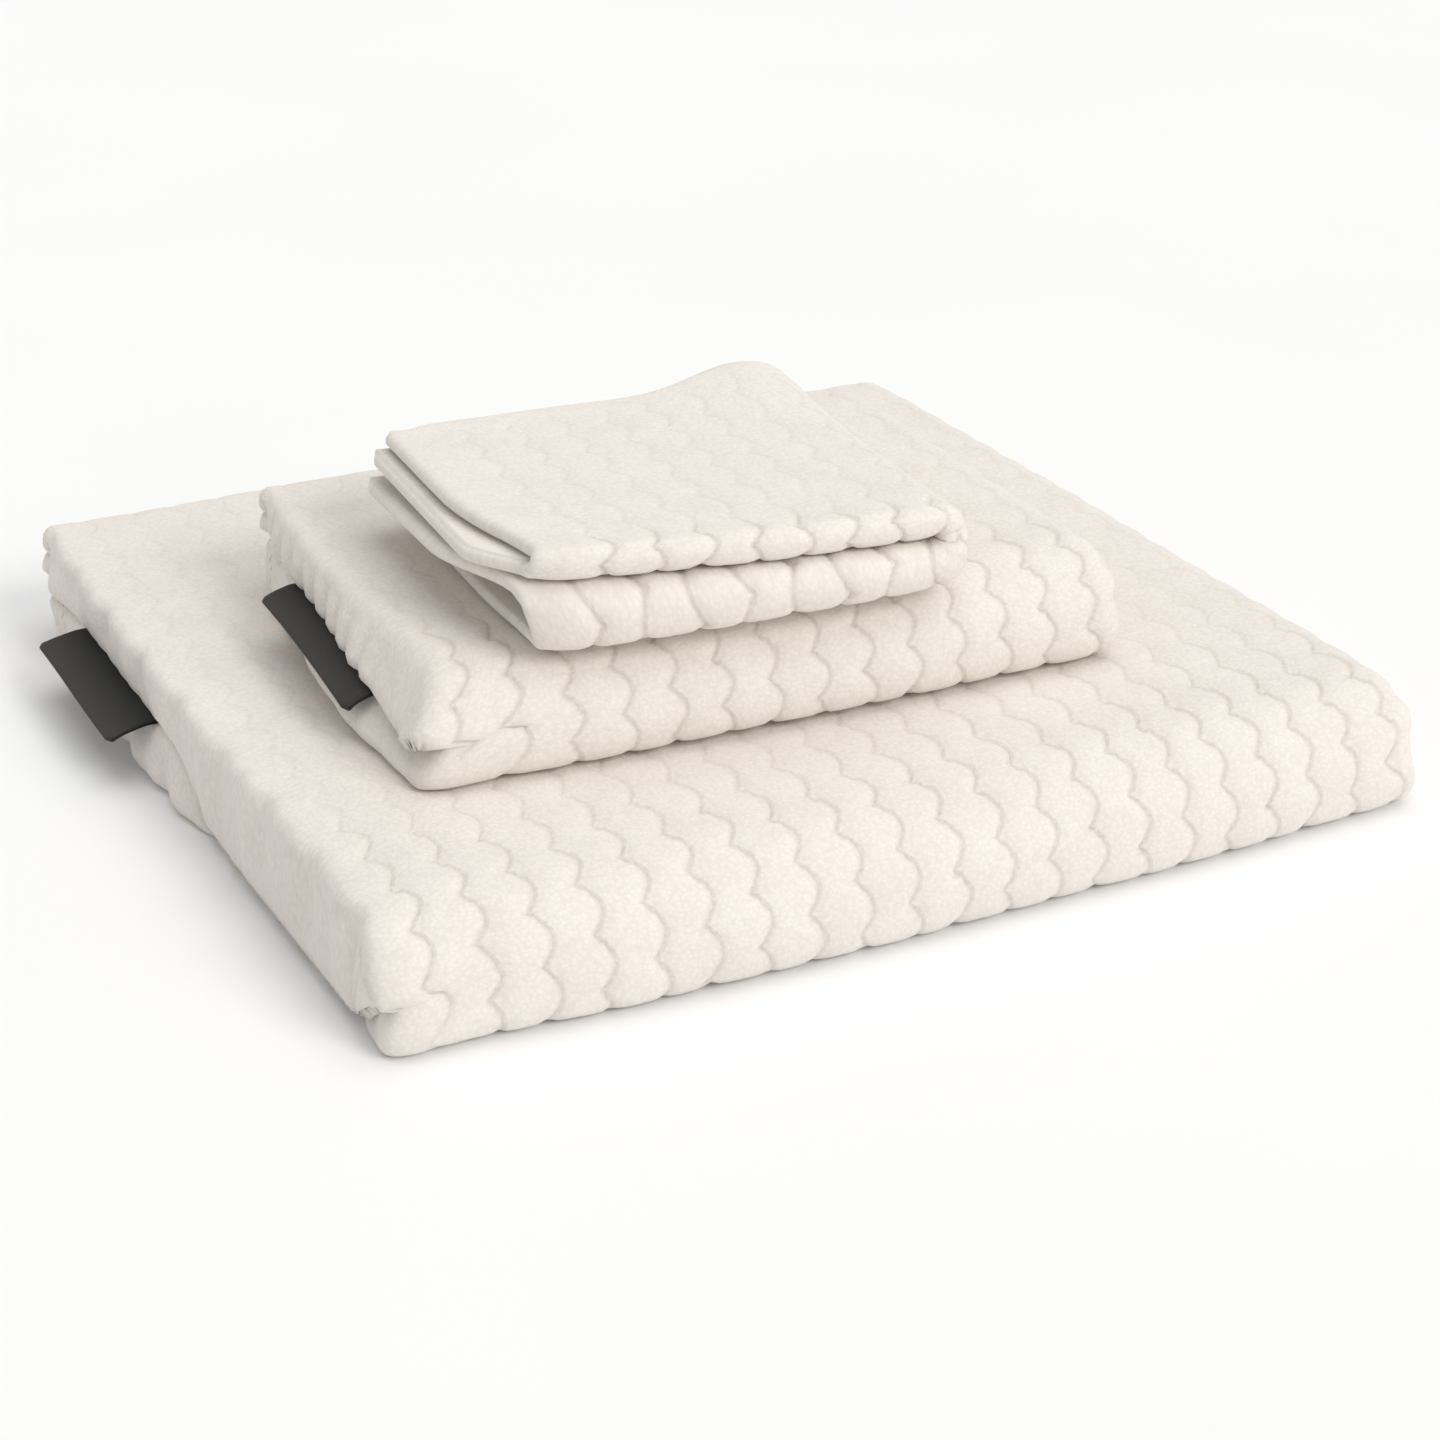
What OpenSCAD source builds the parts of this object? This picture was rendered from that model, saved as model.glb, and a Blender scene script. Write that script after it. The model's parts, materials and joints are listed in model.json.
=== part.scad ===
// Three folded terry towels in a stack: a bath towel, a hand towel and a washcloth.
// X runs side to side, Y from front to back and Z up. The origin is the centre of the bath
// towel's underside, which lies on the shelf. Each big towel is folded in half along its
// length, in half across its width with the side hems on the left, and in half again around
// the front, which makes eight layers. The washcloth is folded in quarters.

/* [Bath towel] */
// Folded width of the bath towel, side to side
bath_w = 380; // [310:1:460]
// Folded depth of the bath towel, front to back, at its sides
bath_d = 376; // [296:1:440]
// Folded height of the bath towel
bath_h = 43; // [35:1:52]
// How far the middle of its front fold bows forward
bath_bow = 8; // [0:1:12]
// How far its left side, with the open hems, bulges in the middle
bath_side_bow = 6; // [0:1:10]
// How far its lower half stops short of its upper half at the back
bath_step = 34; // [10:1:60]

/* [Hand towel] */
// Folded width of the hand towel
hand_w = 254; // [210:1:306]
// Folded depth of the hand towel at its sides
hand_d = 206; // [170:1:248]
// Folded height of the hand towel
hand_h = 38; // [31:1:46]
// How far the middle of its front fold bows forward
hand_bow = 3; // [0:1:8]
// How far its left side, with the open hems, bulges in the middle
hand_side_bow = 3; // [0:1:10]
// How far its lower half stops short of its upper half at the back
hand_step = 16; // [5:1:40]
// Sideways place of its centre on the bath towel
hand_x = -11; // [-25:1:25]
// Front to back place of its centre on the bath towel
hand_y = -14; // [-25:1:25]
// How far it is turned, seen from above
hand_turn = -1.8; // [-4:0.1:4]

/* [Washcloth] */
// Folded width of the washcloth
wash_w = 157; // [130:1:190]
// Folded depth of the washcloth
wash_d = 144; // [120:1:174]
// Height of its lower pair of layers at the open left side
wash_open_h = 24; // [18:1:30]
// Height of its lower pair of layers at the fold on the right
wash_fold_h = 16; // [12:1:17]
// Thickness of its upper pair of layers
wash_pair_h = 12; // [9:1:15]
// How far the upper pair is set back from the front fold below it
wash_setback = 5; // [0:1:12]
// Sideways place of its centre on the bath towel
wash_x = -21; // [-35:1:5]
// Front to back place of its centre on the bath towel
wash_y = -41; // [-50:1:-15]
// How far it is turned, seen from above
wash_turn = -3.5; // [-6:0.1:6]

/* [Folds] */
// How far the large curve at the top of a front fold reaches back
crown = 34; // [24:1:40]
// Radius of the tight curve where a front fold meets what it lies on
toe = 8; // [5:1:10]
// Radius of the four corners in plan
corner_r = 7; // [4:1:12]
// Height of the slit between the two halves of a folded towel
slit_h = 2.2; // [2:0.1:3]
// Depth of solid cloth between the slit and the front
slit_stop = 40; // [30:1:60]

/* [Labels] */
// Length of a woven label along the side hem
label_l = 90; // [60:1:105]
// How far the bath towel's label stands out of the cloth
bath_label_out = 15; // [12:0.5:20]
// How far the hand towel's label stands out of the cloth
hand_label_out = 11.5; // [9:0.5:16]
// Thickness of the folded label tape
label_t = 1.5; // [1.2:0.1:1.7]
// Depth of label tape sewn in under the side hem
label_in = 12; // [8:1:18]
// Distance from the bath towel's lower corner to its label
bath_label_gap = 33; // [12:1:35]
// Distance from the hand towel's lower corner to its label
hand_label_gap = 44; // [12:1:60]
// How far the bath towel's label droops from level
bath_label_droop = 12; // [5:1:20]
// How far the hand towel's label droops from level
hand_label_droop = 18; // [10:1:30]
// Length of one stitch that holds a label
stitch_l = 4; // [3:0.5:6]
// Distance between the starts of two stitches
stitch_pitch = 7; // [6.5:0.5:9]

/* [Seams] */
// Distance of a hem's seam from the cloth's edge
hem_w = 14; // [8:1:20]
// Thickness of the sewing thread
thread_t = 0.8; // [0.5:0.1:1.2]

/* [Clearances] */
// Gap between two towels, or between the halves of the washcloth
gap = 0.3; // [0.2:0.05:0.5]

/* [Hidden] */
$fn = 48;
layers = 4;
arc_steps = 10;
bath_root = label_root(bath_w, bath_side_bow);
bath_back = label_back(bath_d, bath_step, bath_label_gap);
hand_root = label_root(hand_w, hand_side_bow);
hand_back = label_back(hand_d, hand_step, hand_label_gap);
hand_z = bath_h + gap;
wash_z = hand_z + hand_h + gap;
wash_tilt = atan((wash_open_h - wash_fold_h) / wash_w);
wash_layers = 2;

// A value part of the way from a to b
function between(a, b, q) = a + (b - a) * q;

// Points of a quarter ellipse about c, from one angle to another
function quarter(c, rx, ry, from, to) =
  [for (i = [0:arc_steps])
    let (t = between(from, to, i / arc_steps))
    [c[0] + rx * cos(t), c[1] + ry * sin(t)]];

function after_first(list) = [for (i = [1:len(list) - 1]) list[i]];

function reversed(list) = [for (i = [len(list) - 1:-1:0]) list[i]];

// The line of a front fold at a depth below its skin, from the upper layer round to the lower
function nose(front, h, inset) =
  let (
    q = inset / (h / 2),
    tip = [front + inset, inset + (h - 2 * inset) * between(toe / h, 0.5, q)],
    back_up = front + between(crown, h / 2 + toe, q),
    back_low = front + between(toe, h / 2 + toe / 2, q)
  )
  concat(
    quarter([back_up, tip[1]], back_up - tip[0], h - inset - tip[1], 90, 180),
    after_first(quarter([back_low, tip[1]], back_low - tip[0], tip[1] - inset, 180, 270))
  );

// The outline of a ribbon of thickness t along an open path
function ribbon(path, t) =
  let (
    n = len(path) - 1,
    side = [for (i = [0:n])
      let (d = path[min(i + 1, n)] - path[max(i - 1, 0)])
      [-d[1], d[0]] / norm(d) * t / 2]
  )
  concat([for (i = [0:n]) path[i] + side[i]], [for (i = [n:-1:0]) path[i] - side[i]]);

// Height of the middle of a layer above the underside, counted from the skin inwards
function layer_depth(h, k) = (h / 2) * (k + 0.5) / layers;

// The path of a pair of layers: round the front, back over the top, round the rear fold
// and forward again inside, ending at the hem in the lower half
function pair_path(d, h, step, outer, inner) =
  let (
    a = layer_depth(h, outer),
    b = layer_depth(h, inner),
    r = (b - a) / 2,
    top_back = d / 2 - r - thread_t,
    low_back = d / 2 - step - thread_t
  )
  concat(
    [[low_back, a]],
    reversed(nose(-d / 2, h, a)),
    quarter([top_back, h - a - r], r, r, 90, -90),
    nose(-d / 2, h, b),
    [[low_back, b]]
  );

// Extrudes an outline drawn in Y and Z along X, centred
module along_x(w) {
  rotate([90, 0, 90])
    linear_extrude(height = w, center = true)
      children();
}

// The outline seen from above: round corners, and a bow at the front and on the left
module plan(w, d, bow, side_bow) {
  x = w / 2 - corner_r;
  y = d / 2 - corner_r;
  polygon(concat(
    [for (i = [-arc_steps:arc_steps])
      let (s = i / arc_steps)
      [s * x, -d / 2 - bow * (1 - s * s)]],
    after_first(quarter([x, -y], corner_r, corner_r, -90, 0)),
    quarter([x, y], corner_r, corner_r, 0, 90),
    quarter([-x, y], corner_r, corner_r, 90, 180),
    [for (i = [arc_steps - 1:-1:1 - arc_steps])
      let (s = i / arc_steps)
      [-w / 2 - side_bow * (1 - s * s), s * y]],
    after_first(reversed(after_first(quarter([-x, -y], corner_r, corner_r, 270, 180))))
  ));
}

// The side view of a folded towel: one big fold at the front, a slit between the halves
// that opens at the back, and a lower half that stops short
module side_view(d, h, bow, step) {
  difference() {
    polygon(concat(nose(-d / 2 - bow, h, 0), [[d / 2, 0], [d / 2, h]]));
    translate([slit_stop - d / 2, (h - slit_h) / 2])
      square([d, slit_h]);
    translate([d / 2 - step, -h])
      square([step + h, h + (h + slit_h) / 2]);
  }
}

// The cloth of a big towel, folded to eight layers
module folded_cloth(w, d, h, bow, side_bow, step) {
  color([0.93, 0.9, 0.87])
    intersection() {
      along_x(w + 2 * side_bow) side_view(d, h, bow, step);
      linear_extrude(height = h) plan(w, d, bow, side_bow);
    }
}

// The seam of a side hem, which follows its pair of layers around every fold
module side_seam(w, d, h, step, outer, inner) {
  color([0.9, 0.87, 0.83])
    translate([hem_w - w / 2, 0, 0])
      along_x(thread_t)
        polygon(ribbon(pair_path(d, h, step, outer, inner), thread_t));
}

// The seam of an end hem, which goes round the fold on the right in the lower half
module end_seam(w, d, h, step, k) {
  z = layer_depth(h, k);
  r = h / 4 - z;
  x = w / 2 - thread_t - h / 4;
  path = concat(
    [[thread_t - w / 2, z]],
    quarter([x, h / 4], r, r, -90, 90),
    [[thread_t - w / 2, h / 2 - z - slit_h / 2]]
  );
  color([0.9, 0.87, 0.83])
    translate([0, d / 2 - step - hem_w, 0])
      rotate([90, 0, 0])
        linear_extrude(height = thread_t, center = true)
          polygon(ribbon(path, thread_t));
}

// Where a label starts along Y, counted from the lower half's back corner
function label_back(d, step, from_corner) = d / 2 - step - from_corner;

// Where a label comes out of the cloth, along X
function label_root(w, side_bow) = -w / 2 - side_bow;

// The part of a label that is sewn in between the halves
module label_tail(root, back, h) {
  color([0.2, 0.2, 0.19])
    translate([root, back - label_l, (h - label_t) / 2])
      cube([label_in, label_l, label_t]);
}

// The stitches that hold a label, from the cloth above it to the cloth below
module label_stitches(root, back, h) {
  count = floor((label_l - stitch_l) / stitch_pitch);
  color([0.15, 0.15, 0.15])
    for (i = [0:count])
      translate([root + label_in * 0.75, back - stitch_l - i * stitch_pitch, h / 2 - slit_h])
        cube([thread_t, stitch_l, 2 * slit_h]);
}

// The part of a label that stands out of the cloth, with a round folded edge
module label_flap(root, back, h, out, droop) {
  color([0.2, 0.2, 0.19])
    translate([root - gap - label_t / 2, back, h / 2])
      rotate([0, -droop, 0]) {
        translate([label_t / 2 - out, -label_l, -label_t / 2])
          cube([out - label_t / 2, label_l, label_t]);
        translate([label_t / 2 - out, 0, 0])
          rotate([90, 0, 0])
            cylinder(h = label_l, d = label_t);
      }
}

module on_bath() {
  translate([hand_x, hand_y, hand_z])
    rotate([0, 0, hand_turn])
      children();
}

module on_hand() {
  translate([wash_x, wash_y, wash_z])
    rotate([0, 0, wash_turn])
      children();
}

// The frame of the washcloth's upper pair: tilted about the fold on the right
module on_fold() {
  on_hand()
    translate([wash_w / 2, 0, wash_fold_h])
      rotate([0, wash_tilt, 0])
        translate([-wash_w / 2, 0, 0])
          children();
}

// The lower pair of the washcloth's layers, high on the left where it gapes
module washcloth_lower_half() {
  color([0.94, 0.91, 0.88])
    on_hand()
      intersection() {
        along_x(wash_w)
          polygon(concat(
            nose(-wash_d / 2, wash_open_h, 0),
            [[wash_d / 2, 0], [wash_d / 2, wash_open_h]]
          ));
        rotate([90, 0, 0])
          linear_extrude(height = wash_d, center = true)
            polygon([
              [-wash_w / 2, 0],
              [wash_w / 2, 0],
              [wash_w / 2, wash_fold_h - gap / 2],
              [-wash_w / 2, wash_open_h - gap / 2]
            ]);
      }
}

// The upper pair of the washcloth's layers, which opens about the fold on the right
module washcloth_upper_half() {
  edge = wash_pair_h / 2;
  front = wash_setback + edge - wash_d / 2;
  color([0.95, 0.92, 0.89])
    on_fold()
      translate([0, 0, gap / 2])
        along_x(wash_w)
          polygon(concat(
            quarter([front, edge], edge, edge, 90, 270),
            [[wash_d / 2, 0], [wash_d / 2, wash_pair_h]]
          ));
}

// A seam along the washcloth's left edge, round the front fold of one pair of layers
module washcloth_side_seam(h, setback) {
  z = h / wash_layers / 2;
  front = setback + h / 2 - wash_d / 2;
  r = h / 2 - z;
  back = wash_d / 2 - thread_t;
  path = concat([[back, h - z]], quarter([front, h / 2], r, r, 90, 270), [[back, z]]);
  color([0.9, 0.87, 0.83])
    translate([hem_w - wash_w / 2, 0, 0])
      along_x(thread_t)
        polygon(ribbon(path, thread_t));
}

// A seam along the washcloth's back edge, in one layer
module washcloth_end_seam(z) {
  color([0.9, 0.87, 0.83])
    translate([thread_t - wash_w / 2, wash_d / 2 - hem_w, z - thread_t / 2])
      cube([wash_w - 2 * thread_t, thread_t, thread_t]);
}

folded_cloth(bath_w, bath_d, bath_h, bath_bow, bath_side_bow, bath_step);  // bath_cloth
side_seam(bath_w, bath_d, bath_h, bath_step, 0, 1);  // bath_side_seam_outer
side_seam(bath_w, bath_d, bath_h, bath_step, 2, 3);  // bath_side_seam_inner
end_seam(bath_w, bath_d, bath_h, bath_step, 0);  // bath_end_seam_outer
end_seam(bath_w, bath_d, bath_h, bath_step, 1);  // bath_end_seam_inner
label_tail(bath_root, bath_back, bath_h);  // bath_label_tail
label_stitches(bath_root, bath_back, bath_h);  // bath_label_stitches
label_flap(bath_root, bath_back, bath_h, bath_label_out, bath_label_droop);  // bath_label_flap

on_bath() folded_cloth(hand_w, hand_d, hand_h, hand_bow, hand_side_bow, hand_step);  // hand_cloth
on_bath() side_seam(hand_w, hand_d, hand_h, hand_step, 0, 1);  // hand_side_seam_outer
on_bath() side_seam(hand_w, hand_d, hand_h, hand_step, 2, 3);  // hand_side_seam_inner
on_bath() end_seam(hand_w, hand_d, hand_h, hand_step, 0);  // hand_end_seam_outer
on_bath() end_seam(hand_w, hand_d, hand_h, hand_step, 1);  // hand_end_seam_inner
on_bath() label_tail(hand_root, hand_back, hand_h);  // hand_label_tail
on_bath() label_stitches(hand_root, hand_back, hand_h);  // hand_label_stitches
on_bath() label_flap(hand_root, hand_back, hand_h, hand_label_out, hand_label_droop);  // hand_label_flap

washcloth_lower_half();
washcloth_upper_half();
on_hand() washcloth_side_seam(wash_fold_h, 0);  // washcloth_side_seam_lower
on_fold() washcloth_side_seam(wash_pair_h, wash_setback);  // washcloth_side_seam_upper
on_hand() washcloth_end_seam(wash_fold_h * 0.25);  // washcloth_end_seam_bottom
on_hand() washcloth_end_seam(wash_fold_h * 0.75);  // washcloth_end_seam_lower_middle
on_fold() washcloth_end_seam(wash_pair_h * 0.25);  // washcloth_end_seam_upper_middle
on_fold() washcloth_end_seam(wash_pair_h * 0.75);  // washcloth_end_seam_top
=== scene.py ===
"""Looks of a bath towel set: three folded terry towels in a stack, two with a woven label.

Each towel is one sheet of cloth with real thickness, folded in code: a point of the cut sheet
goes through its folds in turn. All lengths are in metres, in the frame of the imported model.
"""

import json
import math

import bpy
import numpy as np
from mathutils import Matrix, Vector


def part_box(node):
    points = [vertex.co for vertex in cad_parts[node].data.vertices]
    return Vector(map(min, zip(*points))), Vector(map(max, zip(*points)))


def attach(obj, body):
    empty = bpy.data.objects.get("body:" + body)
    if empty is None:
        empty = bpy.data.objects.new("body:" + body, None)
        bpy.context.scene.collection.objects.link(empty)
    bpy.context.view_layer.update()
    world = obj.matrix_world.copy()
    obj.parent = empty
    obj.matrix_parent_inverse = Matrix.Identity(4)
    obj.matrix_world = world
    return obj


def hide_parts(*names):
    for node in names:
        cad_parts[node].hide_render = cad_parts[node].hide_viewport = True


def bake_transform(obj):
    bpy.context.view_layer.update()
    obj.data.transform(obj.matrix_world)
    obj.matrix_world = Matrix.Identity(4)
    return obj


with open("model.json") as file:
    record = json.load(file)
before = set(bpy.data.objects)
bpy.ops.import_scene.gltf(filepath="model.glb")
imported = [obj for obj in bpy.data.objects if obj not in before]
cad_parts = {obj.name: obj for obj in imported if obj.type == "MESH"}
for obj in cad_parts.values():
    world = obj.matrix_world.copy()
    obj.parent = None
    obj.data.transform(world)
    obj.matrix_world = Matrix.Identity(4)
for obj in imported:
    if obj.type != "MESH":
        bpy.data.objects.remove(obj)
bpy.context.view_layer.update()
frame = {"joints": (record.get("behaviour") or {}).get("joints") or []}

# Camera: where it looks, from how far, and from which side
TARGET = (-0.0428, -0.1114, 0.05)
DISTANCE = 0.9396
AZIMUTH = -27.2
ELEVATION = 25.6
SENSOR = 36.0
LENS = 71.3

# The terry's raised ribs, which run along the sheet and have scalloped sides
RIB_PITCH = 0.0175
RIB_RELIEF = 0.0026
LOBE_LENGTH = 0.0215
SCALLOP = 0.0045
LIP_LOBE = 0.0135
# Each valley's lobes start this share of a lobe after the last valley's
GOLDEN = 0.618034

# Front folds: how far the top curve reaches back, and the radius of the tight lower curve
CROWN = 0.034
TOE = 0.0065

# Grid steps on the sheets: what shows, what shows from low angles, what is inside
FINE = 0.0026
MEDIUM = 0.0050
COARSE = 0.0110

HEM = 0.014
THREAD = 0.0008

# Woven labels: length, how far their ends are sewn in, and the step of their grid's rows
LABEL_LENGTH = 0.090
LABEL_INSIDE = 0.012
LABEL_ROWS = 41

# Where round the cloth's rounded rim its points lie, in degrees from straight out
RIM_TURNS = (55.0, 20.0, -20.0, -55.0)


def between(a, b, q):
    """A value part of the way from a to b."""
    return a + (b - a) * q


def smooth(q):
    """0 to 1, with no slope at either end."""
    q = np.clip(q, 0.0, 1.0)
    return q * q * (3.0 - 2.0 * q)


def fade(value, start, end):
    """0 before start, 1 after end."""
    return smooth((value - start) / (end - start))


def joint_named(name):
    """The frame's entry for a joint."""
    return [joint for joint in frame["joints"] if joint["name"] == name][0]


def yaw_of(joint):
    """How far the body of a joint is turned about Z, from the joint's axis."""
    axis = joint_named(joint)["axis"]
    return -math.atan2(axis[0], axis[1])


def sides_of_turned(size, yaw):
    """The sides of a rectangle that is turned by yaw, from its upright box."""
    c, s = abs(math.cos(yaw)), abs(math.sin(yaw))
    spread = c * c - s * s
    return (size[0] * c - size[1] * s) / spread, (size[1] * c - size[0] * s) / spread


def turned(points, yaw, centre):
    """Points turned about Z and moved to centre."""
    c, s = math.cos(yaw), math.sin(yaw)
    x, y, z = points[..., 0], points[..., 1], points[..., 2]
    return np.stack([c * x - s * y + centre[0], s * x + c * y + centre[1], z + centre[2]], -1)


# ---------------- terry relief


def scallop(index, v):
    """Sideways place of the valley with this index, along the sheet."""
    start = (index * GOLDEN) % 1.0
    return SCALLOP * np.abs(np.sin(np.pi * (v / LOBE_LENGTH + start)))


def ribs(u, v):
    """Height of the pile from 0 in the valleys to 1, at sheet coordinates u and v."""
    index = np.floor(u / RIB_PITCH)
    index = index - (u < index * RIB_PITCH + scallop(index, v))
    left = index * RIB_PITCH + scallop(index, v)
    right = (index + 1) * RIB_PITCH + scallop(index + 1, v)
    q = np.clip((u - left) / (right - left), 0.0, 1.0)
    nearest = np.where(q < 0.5, index, index + 1)
    joint = 1.0 - np.abs(np.sin(np.pi * (v / LOBE_LENGTH + (nearest * GOLDEN) % 1.0)))
    groove = np.abs(2.0 * q - 1.0) ** 5.0 * (0.50 + 0.50 * joint)
    return 1.0 - groove - 0.05 * joint


def unevenness(u, v):
    """Soft, uneven fill of the pile, from about -1 to 1."""
    return (
        0.45 * np.sin(u / 0.0171 + 2.1 * np.sin(v / 0.041))
        + 0.35 * np.sin(v / 0.0233 - 1.7 * np.sin(u / 0.052) + 1.0)
        + 0.20 * np.sin(u / 0.0074 + v / 0.0091)
    )


# ---------------- sheets of cloth


def surface_normals(mid):
    """Unit normals of a grid of points."""
    du = np.gradient(mid, axis=0)
    dv = np.gradient(mid, axis=1)
    n = np.cross(du, dv)
    return n / np.maximum(np.linalg.norm(n, axis=-1, keepdims=True), 1e-12)


def rim_out(mid):
    """Unit directions out of the sheet at each point of its rim, as a grid."""
    out = np.zeros_like(mid)
    out[0] = mid[0] - mid[1]
    out[-1] = mid[-1] - mid[-2]
    out[:, 0] = mid[:, 0] - mid[:, 1]
    out[:, -1] = mid[:, -1] - mid[:, -2]
    return out / np.maximum(np.linalg.norm(out, axis=-1, keepdims=True), 1e-12)


def rim_indices(nu, nv):
    """Grid indices once round the rim."""
    grid = np.arange(nu * nv).reshape(nu, nv)
    return np.concatenate([grid[:-1, 0], grid[-1, :-1], grid[:0:-1, -1], grid[0, :0:-1]])


def on_all_points(values, nu, nv):
    """Values of a grid, for every point of the sheet that cloth() makes of it: face, back, rim."""
    return np.concatenate([values, values] + [values[rim_indices(nu, nv)]] * len(RIM_TURNS))


def quads_of(nu, nv):
    """The faces of a grid, as four point numbers each."""
    grid = np.arange(nu * nv).reshape(nu, nv)
    corners = grid[:-1, :-1], grid[1:, :-1], grid[1:, 1:], grid[:-1, 1:]
    return np.stack([c.ravel() for c in corners], 1)


def new_mesh_object(name, vertices, faces):
    """A smooth mesh object in the scene."""
    mesh = bpy.data.meshes.new(name)
    mesh.vertices.add(len(vertices))
    mesh.vertices.foreach_set("co", np.asarray(vertices, np.float32).ravel())
    sizes = np.array([len(f) for f in faces])
    mesh.loops.add(int(sizes.sum()))
    mesh.loops.foreach_set("vertex_index", np.concatenate([np.asarray(f) for f in faces]))
    mesh.polygons.add(len(faces))
    mesh.polygons.foreach_set("loop_start", np.concatenate([[0], np.cumsum(sizes)[:-1]]))
    mesh.polygons.foreach_set("use_smooth", np.ones(len(faces), bool))
    mesh.update(calc_edges=True)
    mesh.validate()
    piece = bpy.data.objects.new(name, mesh)
    bpy.context.scene.collection.objects.link(piece)
    return piece


def add_sheet_coordinates(piece, coordinates, ribbed):
    """Each point's place on the cut sheet, which the weave follows through every fold, and
    how far its ribs stand out, from 0 to 1."""
    layer = piece.data.attributes.new("sheet", "FLOAT_VECTOR", "POINT")
    layer.data.foreach_set("vector", np.asarray(coordinates, np.float32).ravel())
    layer = piece.data.attributes.new("ribbed", "FLOAT", "POINT")
    layer.data.foreach_set("value", np.asarray(ribbed, np.float32).ravel())


def cloth(name, mid, half, lift, u, v, ribbed=0.0):
    """A closed sheet round the grid of mid points: half is half its thickness, lift is how far
    each face's pile stands over that, and ribbed is how clear its ribs are."""
    nu, nv = mid.shape[:2]
    n = surface_normals(mid)
    face = mid + n * (half + lift[0])[..., None]
    back = mid - n * (half + lift[1])[..., None]
    rim = rim_indices(nu, nv)
    out = (rim_out(mid) * half[..., None]).reshape(-1, 3)[rim]
    middle, up = [a.reshape(-1, 3)[rim] for a in ((face + back) / 2, (face - back) / 2)]
    turns = [math.radians(a) for a in RIM_TURNS]
    rings = [middle + out * math.cos(a) + up * math.sin(a) for a in turns]
    vertices = np.concatenate([face.reshape(-1, 3), back.reshape(-1, 3)] + rings)
    quads = quads_of(nu, nv)
    count = nu * nv
    loops = [2 * count + i * len(rim) + np.arange(len(rim)) for i in range(len(rings))]
    bands = [rim] + loops + [rim + count]
    walls = [
        np.stack([a, b, np.roll(b, -1), np.roll(a, -1)], 1) for a, b in zip(bands[:-1], bands[1:])
    ]
    faces = np.concatenate([quads, quads[:, ::-1] + count] + walls)
    piece = new_mesh_object(name, vertices, faces)
    flat = np.stack([u + 0 * v, v + 0 * u, 0 * u + 0 * v], -1).reshape(-1, 3)
    places = [flat, flat + (0, 0, 1)] + [flat[rim]] * len(rings)
    shown = np.zeros(len(vertices))
    shown[:count] = np.broadcast_to(ribbed, (nu, nv)).ravel()
    add_sheet_coordinates(piece, np.concatenate(places), shown)
    return piece, n


# ---------------- the two big towels


def stations(*spans):
    """Joins spans of (from, to, length, step) into one list of fractions, ends shared."""
    out = []
    for start, end, length, step in spans:
        count = max(2, int(round(length / step)))
        span = np.linspace(start, end, count + 1)
        out.append(span if not out else span[1:])
    return np.concatenate(out)


def nose_point(front, h, inset, q):
    """Y and Z on the front fold, inset from its skin, with q from 0 at the top to 1."""
    share = inset / (h / 2)
    tip_y = front + inset
    tip_z = inset + (h - 2 * inset) * between(TOE / h, 0.5, share)
    back_up = front + between(CROWN, h / 2 + TOE, share)
    back_low = front + between(TOE, h / 2 + TOE / 2, share)
    angle = np.pi / 2 + q * np.pi
    upper = q < 0.5
    middle = np.where(upper, back_up, back_low)
    reach_z = np.where(upper, h - inset - tip_z, tip_z - inset)
    return middle + (middle - tip_y) * np.cos(angle), tip_z + reach_z * np.sin(angle)


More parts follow.
